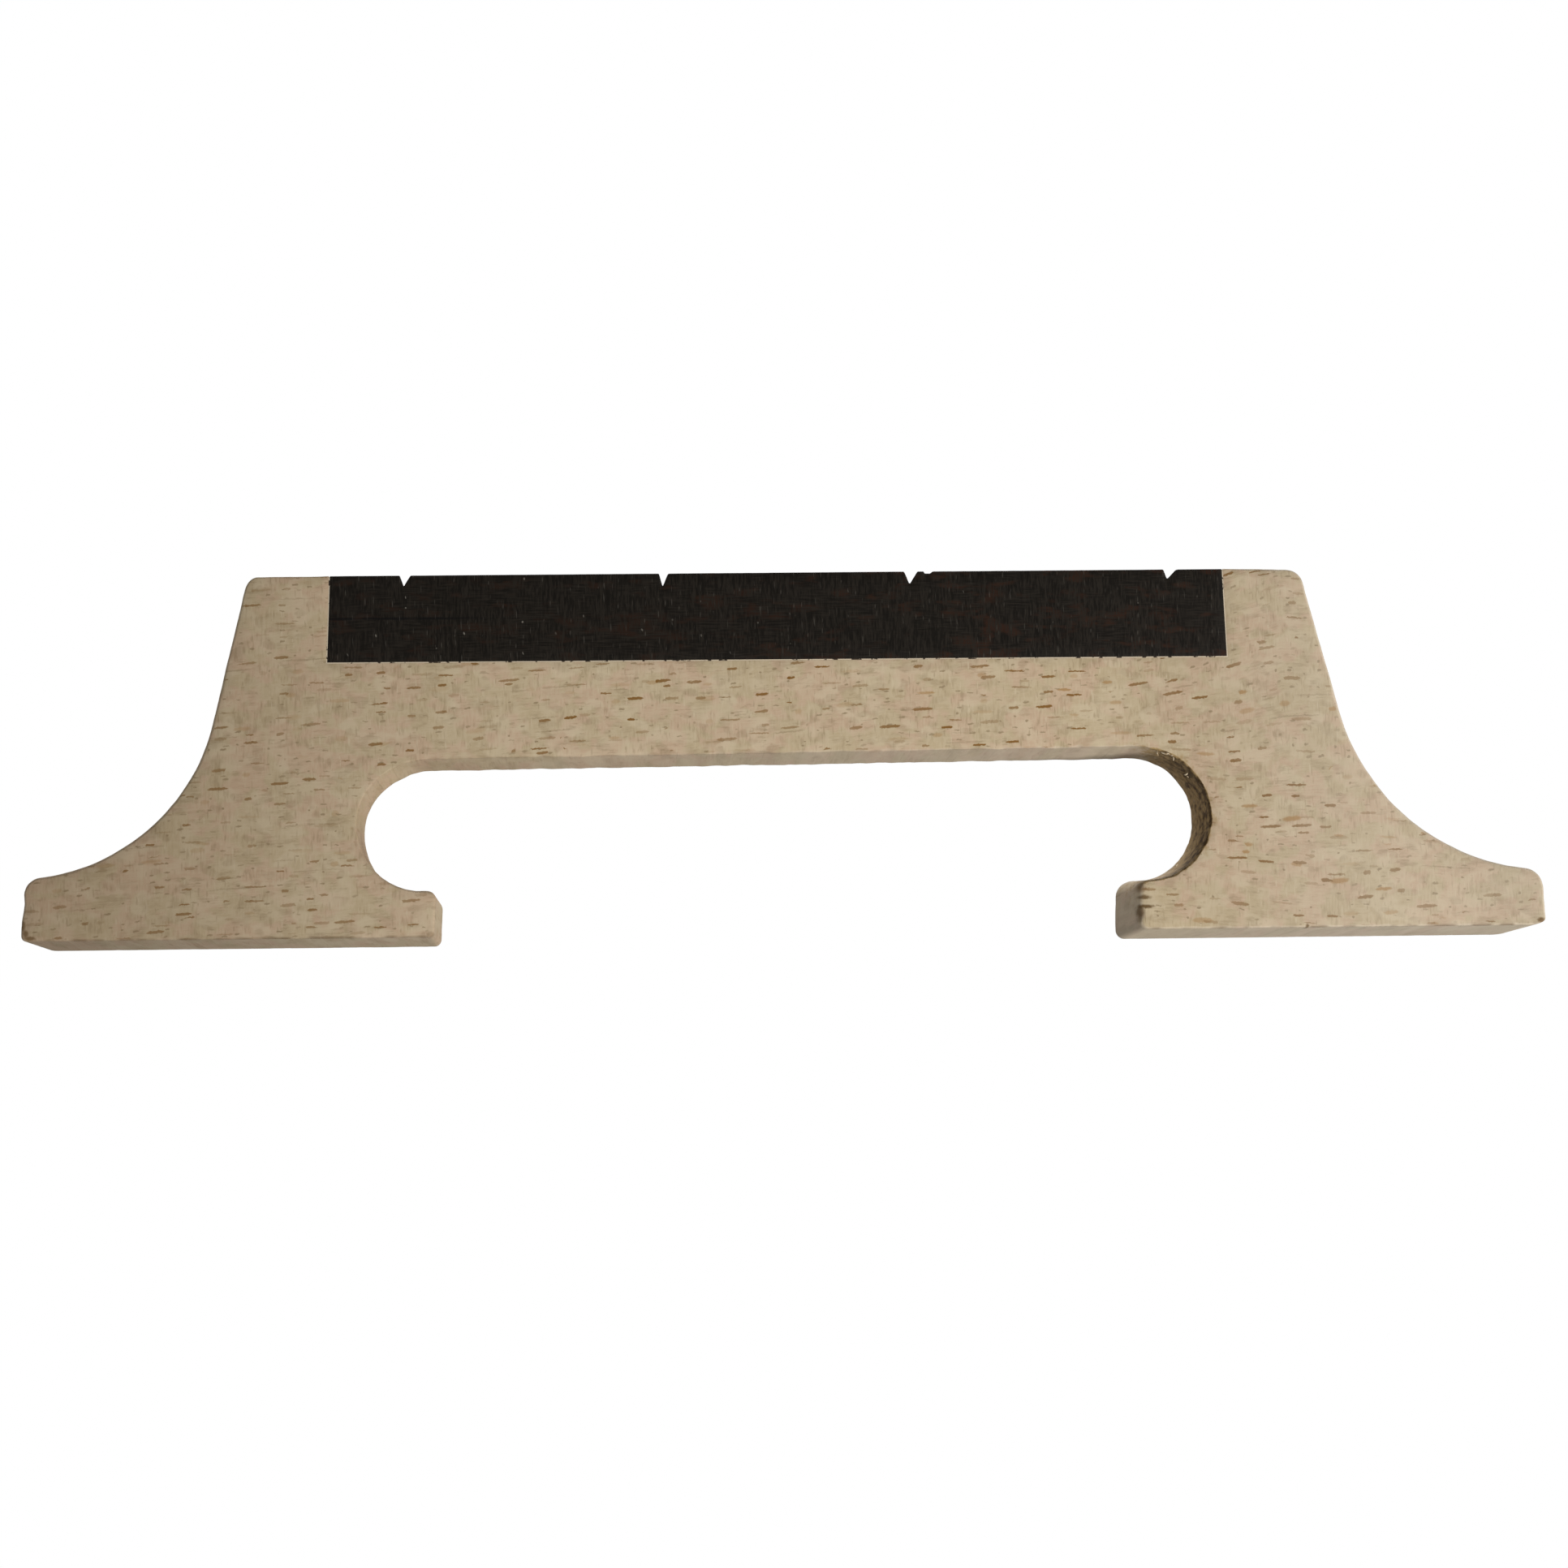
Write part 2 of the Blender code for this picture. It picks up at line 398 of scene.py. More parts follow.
def cover(places, faces, ring, first, step, y_at, flipped):
    """Fills a face inside a ring with triangles over a staggered grid of points."""
    edge = [Vector((p[0], p[2])) for p in ring]
    n = len(edge)
    low, high = np.min(ring, 0), np.max(ring, 0)
    border = np.array([[p.x, p.y] for p in edge])
    inner = []
    grid_rows = int((high[2] - low[2]) / (step * GRID_ROW)) + 1
    for r in range(grid_rows):
        z = low[2] + (r + 0.5) * step * GRID_ROW
        x = low[0] + (step / 2 if r % 2 else step / 4)
        while x < high[0]:
            gap = np.min(np.hypot(border[:, 0] - x, border[:, 1] - z))
            if gap > GRID_CLEAR * step:
                inner.append(Vector((x, z)))
            x += step
    ends = [(i, (i + 1) % n) for i in range(n)]
    flat, _, triangles, origin, _, _ = delaunay_2d_cdt(edge + inner, ends, [], 1, 1e-7)
    index = {}
    for corner_number in sorted({number for triangle in triangles for number in triangle}):
        place = flat[corner_number]
        ours = [source for source in origin[corner_number] if source < n]
        if ours:
            index[corner_number] = first + ours[0]
        else:
            index[corner_number] = len(places)
            places.append((place.x, y_at(place.y), place.y))
    for a, b, c in triangles:
        pa, pb, pc = flat[a], flat[b], flat[c]
        turn = (pb.x - pa.x) * (pc.y - pa.y) - (pb.y - pa.y) * (pc.x - pa.x)
        if (turn < 0) != flipped:
            b, c = c, b
        faces.append((index[a], index[b], index[c]))


# ---------------------------------------------------------------------------------------------
# The pieces
# ---------------------------------------------------------------------------------------------
def sweep_corner(side, flank):
    """Where the flank's leaning line would meet the top of the foot."""
    lean = math.tan(math.radians(flank["lean"]))
    slope = math.tan(math.radians(FOOT_TOP_SLOPE))
    rise = HEIGHT - flank["tip_height"]
    x = (flank["top_x"] + lean * (rise - slope * FOOT_HALF_LENGTH)) / (1 - lean * slope)
    return side * x, flank["tip_height"] + slope * (FOOT_HALF_LENGTH - x)


def top_z(x):
    """The height of the top at x, between the ends of the string bar."""
    along = (x - BAR_LEFT) / (BAR_RIGHT - BAR_LEFT)
    return HEIGHT - TOP_DROP * (1 - min(max(along, 0), 1))


def left_foot_corners():
    foot = -FOOT_HALF_LENGTH
    return [
        corner(foot, 0, "sole", cut=(0.24, 0.24), back_cut=(0.27, 0.60)),
        corner(TOE_LEFT_SOLE, 0, "toe_end", radius=0.3),
        corner(TOE_LEFT, TOE_LEFT_HEIGHT, "toe_top", radius=0.36),
    ]


def arch_corners():
    return [
        corner(ARCH_LEFT, TOE_LEFT_HEIGHT, "left_arch", cut=(2.85, 2.95)),
        corner(ARCH_LEFT, CEILING_LEFT, "ceiling", cut=(2.8, 3.2)),
        corner(ARCH_RIGHT, CEILING_RIGHT, "right_arch", cut=(3.3, 3.1), back_cut=(3.0, 2.9),
               split=0.12),
        corner(ARCH_RIGHT, TOE_RIGHT_HEIGHT, "right_toe_top", cut=(2.85, 2.8),
               back=(0.03, ARCH_RIGHT_RISE), back_cut=(2.65, 2.6)),
    ]


def right_foot_corners():
    foot = FOOT_HALF_LENGTH
    return [
        corner(TOE_RIGHT, TOE_RIGHT_HEIGHT, "right_toe_end", cut=(0.5, 0.5),
               back=(TOE_RIGHT_BACK, TOE_RIGHT_RISE), back_cut=(0.8, 0.75)),
        corner(TOE_RIGHT, 0, "sole", radius=0.42, back=(TOE_RIGHT_BACK, 0.0)),
        corner(foot, 0, "tip_end", cut=(0.8, 0.3)),
        corner(foot - RIGHT_TIP_IN, RIGHT_FLANK["tip_height"], "flank", cut=(0.75, 0.7)),
        corner(*sweep_corner(1, RIGHT_FLANK), "flank", radius=RIGHT_FLANK["sweep_radius"]),
    ]


def top_corners():
    """The top from the right horn to the left one, with the notch for the string bar."""
    return [
        corner(RIGHT_FLANK["top_x"], HEIGHT - RIGHT_HORN_DROP, "top", cut=(0.5, 0.55)),
        corner(RIGHT_HORN_LEVEL_TO, HEIGHT, "top", cut=(0.8, 0.8)),
        corner(BAR_RIGHT - BAR_TAPER + GLUE_LINE, HEIGHT, "notch"),
        corner(BAR_RIGHT + GLUE_LINE, BAR_BOTTOM - GLUE_LINE, "notch"),
        corner(BAR_LEFT - GLUE_LINE, BAR_BOTTOM - GLUE_LINE, "notch"),
        corner(BAR_LEFT + BAR_TAPER - GLUE_LINE, top_z(BAR_LEFT), "top"),
        corner(-LEFT_FLANK["top_x"], HEIGHT - LEFT_HORN_DROP, "flank", cut=(0.45, 0.55)),
    ]


def left_tip_corners():
    foot = -FOOT_HALF_LENGTH
    return [
        corner(*sweep_corner(-1, LEFT_FLANK), "flank", radius=LEFT_FLANK["sweep_radius"]),
        corner(foot + LEFT_TIP_IN, LEFT_FLANK["tip_height"], "tip_end", cut=(0.75, 0.75)),
        corner(foot + LEFT_HOLLOW_IN, LEFT_HOLLOW_HEIGHT, "tip_end", cut=(0.2, 0.2)),
        corner(foot, LEFT_UPRIGHT_HEIGHT, "tip_end", cut=(0.2, 0.15), back=(0.03, 0.30)),
    ]


def body_corners():
    """Anticlockwise from the lower corner of the left foot's tip."""
    return (left_foot_corners() + arch_corners() + right_foot_corners() + top_corners()
            + left_tip_corners())


# Each string slot: where its tip is along the bar, how deep it is, how far its two lips stand
# off, and how worn the right lip is. The chip is out of the edge beside the third slot.
SLOTS = (
    {"x": -16.91, "depth": 0.50, "left": 0.16, "right": 0.30, "lip": 0.05},
    {"x": -5.49, "depth": 0.59, "left": 0.16, "right": 0.24, "lip": 0.08},
    {"x": 5.47, "depth": 0.56, "left": 0.23, "right": 0.36, "lip": 0.05},
    {"x": 16.98, "depth": 0.44, "left": 0.16, "right": 0.42, "lip": 0.10},
)
CHIP = {"beside": SLOTS[2], "from": 6.10, "to": 6.51, "depth": 0.09}


def bar_corners():
    items = [
        corner(BAR_LEFT, BAR_BOTTOM, "bar"),
        corner(BAR_RIGHT, BAR_BOTTOM, "bar"),
        corner(BAR_RIGHT - BAR_TAPER, HEIGHT, "bar"),
    ]
    for slot in reversed(SLOTS):
        top = top_z(slot["x"])
        if slot is CHIP["beside"]:
            low = top - CHIP["depth"]
            items.append(corner(CHIP["to"], top, "slot", cut=(0.05, 0.05)))
            items.append(corner(CHIP["to"] - 0.12, low, "slot", cut=(0.03, 0.03)))
            items.append(corner(CHIP["from"] + 0.05, low, "slot", cut=(0.02, 0.02)))
            items.append(corner(CHIP["from"], top, "bar", cut=(0.02, 0.03)))
        lip = slot["lip"]
        items.append(corner(slot["x"] + slot["right"], top, "slot", cut=(lip, lip)))
        items.append(corner(slot["x"], top - slot["depth"], "slot", cut=(0.07, 0.07)))
        items.append(corner(slot["x"] - slot["left"], top, "bar", cut=(0.05, 0.05)))
    items.append(corner(BAR_LEFT + BAR_TAPER, top_z(BAR_LEFT), "bar"))
    return items


def glue_corners():
    """A thin U round the bar: down its left end, along its bottom and up its right end."""
    left_top, right_top = BAR_LEFT + BAR_TAPER, BAR_RIGHT - BAR_TAPER
    floor = BAR_BOTTOM
    left_z, right_z = top_z(BAR_LEFT) - GLUE_SUNK, HEIGHT - GLUE_SUNK
    return [
        corner(BAR_LEFT - GLUE_LINE, floor - GLUE_LINE, "glue"),
        corner(BAR_RIGHT + GLUE_LINE, floor - GLUE_LINE, "glue"),
        corner(right_top + GLUE_LINE, right_z, "glue"),
        corner(right_top, right_z, "glue"),
        corner(BAR_RIGHT, floor, "glue"),
        corner(BAR_LEFT, floor, "glue"),
        corner(left_top, left_z, "glue"),
        corner(left_top - GLUE_LINE, left_z, "glue"),
    ]


# Torn fibres on the front edges of the wood: where each starts along X and Z, which way it first
# goes in degrees, how long it is, how far it curls in degrees, and how thick it is.
FIBRES = (
    (16.34, 7.94, -105, 0.28, 60, 0.034),
    (16.48, 7.88, -40, 0.60, 95, 0.042),
    (16.62, 7.84, -5, 0.42, -50, 0.030),
    (16.88, 7.72, -20, 0.30, 80, 0.034),
    (17.02, 7.66, -60, 0.22, -50, 0.028),
    (17.50, 6.84, -20, 0.24, 120, 0.034),
    (17.62, 6.80, -70, 0.14, 60, 0.028),
    (17.14, 2.86, 205, 0.20, 40, 0.024),
    (22.62, 0.10, 160, 0.30, -80, 0.024),
)
FIBRE_SIDES = 6
FIBRE_STEPS = 10

# How deep behind the front face a fibre's ends are set, and how far its middle lifts off them.
FIBRE_SEAT = 0.10
FIBRE_LIFT = 0.05
FROM_FRONT = Vector((0, 1, 0))


def fibre_spine(x, z, heading, length, curl):
    """Points along a curled fibre whose two ends are set into the front edge of the wood."""
    points = []
    for k in range(FIBRE_STEPS + 1):
        along = k / FIBRE_STEPS
        lift = FIBRE_LIFT * math.sin(math.pi * along)
        points.append(Vector((x, FRONT_Y + FIBRE_SEAT - lift, z)))
        angle = math.radians(heading + curl * along)
        x += length / FIBRE_STEPS * math.cos(angle)
        z += length / FIBRE_STEPS * math.sin(angle)
    return points


def torn_fibres(name, material):
    """One mesh of thin closed tubes, each tapering to a point at both ends."""
    places, faces = [], []
    for x, z, heading, length, curl, thickness in FIBRES:
        spine = fibre_spine(x, z, heading, length, curl)
        first = len(places)
        places.append(spine[0])
        for k in range(1, FIBRE_STEPS):
            along = (spine[k + 1] - spine[k - 1]).normalized()
            side = along.cross(FROM_FRONT).normalized()
            radius = thickness * math.sin(math.pi * k / FIBRE_STEPS) ** 0.5
            for i in range(FIBRE_SIDES):
                angle = 2 * math.pi * i / FIBRE_SIDES
                off = side * math.cos(angle) + FROM_FRONT * math.sin(angle)
                places.append(spine[k] + off * radius)
        places.append(spine[-1])
        last = len(places) - 1
        rings = FIBRE_STEPS - 1
        for i in range(FIBRE_SIDES):
            j = (i + 1) % FIBRE_SIDES
            faces.append((first, first + 1 + i, first + 1 + j))
            for r in range(rings - 1):
                a = first + 1 + r * FIBRE_SIDES
                faces.append((a + i, a + FIBRE_SIDES + i, a + FIBRE_SIDES + j, a + j))
            a = first + 1 + (rings - 1) * FIBRE_SIDES
            faces.append((a + i, last, a + j))
    return make_piece(name, places, faces, material)


# ---------------------------------------------------------------------------------------------
# Materials
# ---------------------------------------------------------------------------------------------
class Graph:
    """A material's node tree, with one short call for each kind of node it uses."""

    def __init__(self, name):
        self.material = bpy.data.materials.new(name)
        self.material.use_nodes = True
        self.tree = self.material.node_tree
        self.shader = self.tree.nodes["Principled BSDF"]
        place = self.tree.nodes.new("ShaderNodeTexCoord")
        # object coordinates are metres in the frame: from here on, millimetres
        self.place = self.vector("SCALE", place.outputs["Object"], scale=1 / MM)

    def put(self, socket, value):
        if isinstance(value, bpy.types.NodeSocket):
            self.tree.links.new(value, socket)
        else:
            socket.default_value = value

    def math(self, operation, *values):
        node = self.tree.nodes.new("ShaderNodeMath")
        node.operation = operation
        for socket, value in zip(node.inputs, values):
            self.put(socket, value)
        return node.outputs[0]

    def add(self, a, b):
        return self.math("ADD", a, b)

    def minus(self, a, b):
        return self.math("SUBTRACT", a, b)

    def times(self, a, b):
        return self.math("MULTIPLY", a, b)

    def vector(self, operation, *values, scale=None):
        node = self.tree.nodes.new("ShaderNodeVectorMath")
        node.operation = operation
        for socket, value in zip(node.inputs, values):
            self.put(socket, value)
        if scale is not None:
            self.put(node.inputs["Scale"], scale)
        return node.outputs[0]

    def parts(self, vector):
        node = self.tree.nodes.new("ShaderNodeSeparateXYZ")
        self.put(node.inputs[0], vector)
        return node.outputs

    def join(self, x, y, z):
        node = self.tree.nodes.new("ShaderNodeCombineXYZ")
        for socket, value in zip(node.inputs, (x, y, z)):
            self.put(socket, value)
        return node.outputs[0]

    def attribute(self, name):
        node = self.tree.nodes.new("ShaderNodeAttribute")
        node.attribute_name = name
        return node.outputs["Fac"]

    def noise(self, place, size, detail=2.0, roughness=0.5, seed=0.0):
        """Noise from 0 to 1 that changes over about size (x, y, z) millimetres."""
        scaled = self.vector("DIVIDE", place, size)
        moved = self.vector("ADD", scaled, (seed, 2.7 * seed, -1.3 * seed))
        node = self.tree.nodes.new("ShaderNodeTexNoise")
        self.put(node.inputs["Vector"], moved)
        node.inputs["Scale"].default_value = 1.0
        node.inputs["Detail"].default_value = detail
        node.inputs["Roughness"].default_value = roughness
        return node.outputs["Fac"]

    def span(self, value, low, high, to_low=0.0, to_high=1.0):
        """Takes low..high smoothly to to_low..to_high."""
        node = self.tree.nodes.new("ShaderNodeMapRange")
        node.interpolation_type = "SMOOTHSTEP"
        for socket, number in zip(node.inputs, (value, low, high, to_low, to_high)):
            self.put(socket, number)
        return node.outputs[0]

    def mix(self, share, a, b):
        """Colour a, with a share of colour b over it."""
        node = self.tree.nodes.new("ShaderNodeMix")
        node.data_type = "RGBA"
        self.put(node.inputs["Factor"], share)
        self.put(node.inputs["A"], a)
        self.put(node.inputs["B"], b)
        return node.outputs["Result"]

    def cells(self, place, size, seed=0.0):
        """Scattered points, one to a cell of size (x, y, z): the way to the nearest in
        millimetres, and that point's own three random numbers."""
        scaled = self.vector("ADD", self.vector("DIVIDE", place, size), (seed, 1.7 * seed, -seed))
        node = self.tree.nodes.new("ShaderNodeTexVoronoi")
        self.put(node.inputs["Vector"], scaled)
        node.inputs["Scale"].default_value = 1.0
        away = self.vector("SUBTRACT", scaled, node.outputs["Position"])
        return self.vector("MULTIPLY", away, size), self.parts(node.outputs["Color"])

    def flecks(self, place, size, length, width, share, tilt=5.0, soft=0.5, seed=0.0, blunt=3.0):
        """Flecks scattered one to a cell of the size given, 0 outside and up to 1 inside.

        They are about length by width millimetres along X and Z, and share says how many of the
        cells have one. tilt is the most degrees that one leans, and blunt how square its ends are.
        """
        away, own = self.cells(place, size, seed)
        dx, _, dz = self.parts(away)
        lean = self.times(self.minus(own[2], 0.5), math.radians(2 * tilt))
        along = self.add(dx, self.times(lean, dz))
        across = self.minus(dz, self.times(lean, dx))
        half_length = self.span(own[1], 0.0, 1.0, 0.24 * length, 0.68 * length)
        half_width = self.span(own[2], 0.0, 1.0, 0.32 * width, 0.66 * width)
        u = self.math("ABSOLUTE", self.math("DIVIDE", along, half_length))
        v = self.math("ABSOLUTE", self.math("DIVIDE", across, half_width))
        rim = self.add(self.math("POWER", u, blunt), self.math("POWER", v, 1.4))
        mask = self.span(rim, 1.0 - soft, 1.0, 1.0, 0.0)
        chosen = self.math("LESS_THAN", own[0], share)
        strength = self.span(own[0], 0.2 * share, share, 1.0, 0.3)
        return self.times(mask, self.times(chosen, strength))

    def blocks(self, place, size, seed=0.0):
        """Soft-edged patches of about the size given, each with its own level from 0 to 1."""
        scaled = self.vector("ADD", self.vector("DIVIDE", place, size), (seed, 1.7 * seed, -seed))
        node = self.tree.nodes.new("ShaderNodeTexVoronoi")
        node.feature = "SMOOTH_F1"
        self.put(node.inputs["Vector"], scaled)
        node.inputs["Scale"].default_value = 1.0
        node.inputs["Smoothness"].default_value = 0.6
        return self.parts(node.outputs["Color"])[0]

    def spot(self, x, z, half_x, half_z, ragged):
        """A stain at (x, z), 1 in its middle and 0 outside, whatever the depth."""
        away = self.vector("SUBTRACT", self.place, (x, 0.0, z))
        scaled = self.vector("MULTIPLY", away, (1 / half_x, 0.0, 1 / half_z))
        node = self.tree.nodes.new("ShaderNodeVectorMath")
        node.operation = "LENGTH"
        self.put(node.inputs[0], scaled)
        reach = self.add(node.outputs["Value"], ragged)
        return self.span(reach, 0.35, 1.1, 1.0, 0.0)

    def finished(self, color, roughness, height, relief_depth):
        """The material, with a texture that is relief_depth millimetres deep."""
        self.put(self.shader.inputs["Base Color"], color)
        self.put(self.shader.inputs["Roughness"], roughness)
        self.shader.inputs["Specular IOR Level"].default_value = 0.2
        bump = self.tree.nodes.new("ShaderNodeBump")
        bump.inputs["Strength"].default_value = 0.5
        bump.inputs["Distance"].default_value = relief_depth * MM
        self.put(bump.inputs["Height"], height)
        self.put(self.shader.inputs["Normal"], bump.outputs[0])
        return self.material


# The colours of the woods and the glue, in linear light.
BEECH = {
    "pink": (0.648, 0.470, 0.314, 1.0),
    "tan": (0.602, 0.476, 0.296, 1.0),
    "pale": (0.74, 0.610, 0.415, 1.0),
    "grey": (0.68, 0.595, 0.49, 1.0),
    "fleck": (0.265, 0.128, 0.029, 1.0),
    "amber": (0.455, 0.260, 0.100, 1.0),
    "smudge": (0.35, 0.255, 0.145, 1.0),
    # The next two colours are painted shade. The first of them also serves for the dirt along the edges.
    "dirt_and_painted_shade": (0.13, 0.071, 0.028, 1.0),
    "painted_shade_brown": (0.12, 0.090, 0.062, 1.0),
    "chalky": (0.78, 0.74, 0.66, 1.0),
    "burnt": (0.088, 0.050, 0.017, 1.0),
    "ember": (0.42, 0.285, 0.130, 1.0),
    "stain": (0.15, 0.083, 0.027, 1.0),
}
EBONY = {
    "black": (0.0068, 0.0048, 0.0027, 1.0),
    "brown": (0.0345, 0.0130, 0.0058, 1.0),
    "grey": (0.0190, 0.0143, 0.0095, 1.0),
    "dust": (0.26, 0.235, 0.195, 1.0),
    "crack": (0.0035, 0.0025, 0.002, 1.0),
}
GLUE = {"pale": (0.70, 0.58, 0.42, 1.0), "dark": (0.06, 0.04, 0.025, 1.0)}
TORN = {"pale": (0.60, 0.49, 0.34, 1.0), "brown": (0.30, 0.20, 0.10, 1.0)}

# Stains on the front edges of the wood, as places and half sizes along X and Z, and a strength.
STAINS = (
    (-33.36, 0.70, 0.13, 0.30, 0.7),
    (-33.26, 0.34, 0.15, 0.20, 0.8),
    (-33.04, 0.12, 0.32, 0.12, 0.8),
    (33.25, 0.20, 0.24, 0.15, 0.9),
    (15.44, 1.84, 0.25, 0.30, 0.60),
    (15.58, 1.40, 0.38, 0.13, 0.85),
    (15.66, 1.00, 0.46, 0.11, 0.95),
    (15.42, 0.76, 0.20, 0.34, 0.80),
    (15.37, 0.42, 0.13, 0.22, 0.45),
    (22.8, 0.06, 0.12, 0.12, 0.85),
    (-15.75, 0.12, 0.25, 0.14, 0.4),
)

# How deep the stains go from the front face: in full to the first depth, and gone at the second.
STAIN_DEPTHS = (0.3, 1.3)

# How deep the woods' texture is.
BEECH_RELIEF = 0.012
EBONY_RELIEF = 0.006


def beech_grain(g, x, z):
    """Places bent with the grain: it climbs a little to the right, waves there and swings up
    over the right leg."""
    wave = g.noise(g.place, (9, 30, 6), 1.0, seed=4.1)
    swing = g.span(x, 4.0, 20.0, 0.5, 1.7)
    leg = g.math("MINIMUM", g.math("MAXIMUM", g.minus(x, 15.0), 0.0), 7.0)
    climb = g.add(g.times(g.math("MINIMUM", x, 12.0), -0.055),
                  g.times(leg, g.span(z, 2.0, 14.0, 0.05, -0.20)))
    ragged = g.noise(g.place, (0.13, 0.6, 0.06), 2.0, 0.6, seed=9.3)
    bend = g.add(g.times(g.minus(wave, 0.5), swing), g.times(g.minus(ragged, 0.5), 0.13))
    return g.vector("ADD", g.place, g.join(0.0, 0.0, g.add(bend, climb)))


def beech_patches(g):
    """Patches of pinker and greener wood, then paler and duller ones."""
    patch = g.noise(g.place, (1.3, 7, 1.0), 2.0, 0.6, seed=1.9)
    color = g.mix(g.span(patch, 0.43, 0.57), BEECH["tan"], BEECH["pink"])
    lit = g.blocks(g.place, (0.75, 4, 0.55), seed=5.5)
    color = g.mix(g.span(lit, 0.35, 1.0, 0.0, 0.55), color, BEECH["pale"])
    dull = g.blocks(g.place, (0.45, 3, 0.30), seed=7.5)
    return g.mix(g.span(dull, 0.45, 1.0, 0.0, 0.30), color, BEECH["smudge"])


def beech_texture(g, grain, broken):
    """Fibres along the grain, sanding marks across it, and places with neither."""
    fibre = g.noise(grain, (0.6, 2.0, 0.07), 3.0, 0.6, seed=2.2)
    crossing = g.noise(g.place, (0.10, 2.0, 0.5), 2.0, 0.6, seed=6.6)
    return g.add(g.times(fibre, g.span(broken, 0.35, 0.6)),
                 g.times(crossing, g.span(broken, 0.4, 0.65, 1.0, 0.0)))


def beech_strokes(g, color, texture):
    """The texture's shades, and single dull and gleaming strokes across the grain."""
    color = g.mix(g.span(texture, 0.34, 0.50, 0.34, 0.0), color, BEECH["smudge"])
    color = g.mix(g.span(texture, 0.54, 0.70, 0.0, 0.30), color, BEECH["pale"])
    strokes = g.flecks(g.place, (0.38, 5, 0.7), 0.07, 0.46, 0.40, tilt=4, soft=0.9, seed=21.0)
    color = g.mix(g.times(strokes, 0.38), color, BEECH["smudge"])
    gleams = g.flecks(g.place, (0.42, 5, 0.8), 0.07, 0.50, 0.38, tilt=4, soft=0.9, seed=27.0)
    return g.mix(g.times(gleams, 0.55), color, BEECH["pale"])


def beech_flecks(g, color, grain, broken, x, on_face):
    """Adds the ray flecks: faint threads, wide amber ones, small dull ones and short dark ones.

    It gives the colour, and the mask of the dark ones.
    """
    threads = g.flecks(grain, (3.6, 14, 0.9), 3.0, 0.075, 0.45, tilt=1, soft=0.9, seed=41.0, blunt=6)
    color = g.mix(g.times(threads, g.span(broken, 0.42, 0.55, 0.0, 0.5)), color, BEECH["smudge"])
    broad = g.flecks(grain, (2.0, 14, 1.1), 0.80, 0.24, 0.45, tilt=4, soft=0.8, seed=3.0)
    right = g.span(x, -12.0, 14.0, 0.40, 0.90)
    crowding = g.noise(g.place, (5, 30, 2.6), 1.0, seed=33.0)
    cluster = g.times(on_face, g.span(crowding, 0.36, 0.58, 0.62, 1.0))
    color = g.mix(g.times(broad, g.times(cluster, right)), color, BEECH["amber"])
    small = g.flecks(grain, (0.62, 8, 0.42), 0.26, 0.10, 0.48, tilt=8, soft=0.8, seed=8.0)
    color = g.mix(g.times(small, g.times(on_face, 0.85)), color, BEECH["smudge"])
    rays = g.flecks(grain, (1.40, 12, 0.68), 0.74, 0.130, 0.54, tilt=2.5, soft=0.6, seed=12.0, blunt=5)
    middle = g.span(g.math("ABSOLUTE", g.minus(x, 3.0)), 15.0, 24.0, 1.0, 0.82)
    return g.mix(g.times(rays, g.times(cluster, middle)), color, BEECH["fleck"]), rays


def beech_tints_and_painted_shade(g, color, x, wall, on_face):
    """Sawn walls are greyer to the right. Painted shade darkens the left foot, the arch and the right
    leg.
    """
    color = g.mix(g.times(wall, g.span(x, -14.0, 14.0, 0.08, 0.36)), color, BEECH["grey"])
    # Painted shade: darker towards the left foot and horn, and on the walls that the lamps light too
    # brightly.
    left_foot = g.span(x, -34.0, -10.0, 0.40, 0.02)
    color = g.mix(g.add(left_foot, g.attribute("painted_shade")), color, BEECH["dirt_and_painted_shade"])
    # Painted shade: the face is darker over the right leg and near the right foot's tip.
    right_side = g.add(g.span(x, 12.0, 19.0, 0.0, 0.14), g.span(x, 28.0, 34.0, 0.0, 0.13))
    color = g.mix(g.times(right_side, on_face), color, BEECH["painted_shade_brown"])
    return g.mix(g.span(x, 17.0, 26.0, 0.0, 0.09), color, BEECH["chalky"])


def beech_marks(g, color, broken):
    """Dirt along the soles' edges, the saw's scorch in the arch, and the stains."""
    dirt = g.times(g.attribute("dirt"), g.span(broken, 0.40, 0.65, 0.15, 1.0))
    color = g.mix(dirt, color, BEECH["dirt_and_painted_shade"])

    char = g.noise(g.place, (0.35, 0.8, 0.35), 3.0, 0.65, seed=7.7)
    ragged = g.times(g.minus(char, 0.5), 1.1)
    scorch = g.attribute("scorch")
    singe = g.noise(g.place, (0.30, 0.6, 0.34), 3.0, 0.65, seed=15.1)
    tint = g.minus(g.add(singe, 0.35), g.times(scorch, 0.42))
    charred = g.mix(g.span(tint, 0.32, 0.68), BEECH["burnt"], BEECH["ember"])
    color = g.mix(g.span(g.add(scorch, ragged), 0.18, 0.62), color, charred)

    depth = g.parts(g.place)[1]
    full, gone = (FRONT_Y + deep for deep in STAIN_DEPTHS)
    near = g.span(depth, full, gone, 1.0, 0.0)
    for x, z, half_x, half_z, strength in STAINS:
        spot = g.spot(x, z, half_x, half_z, ragged)
        color = g.mix(g.times(spot, g.times(near, strength)), color, BEECH["stain"])
    return color


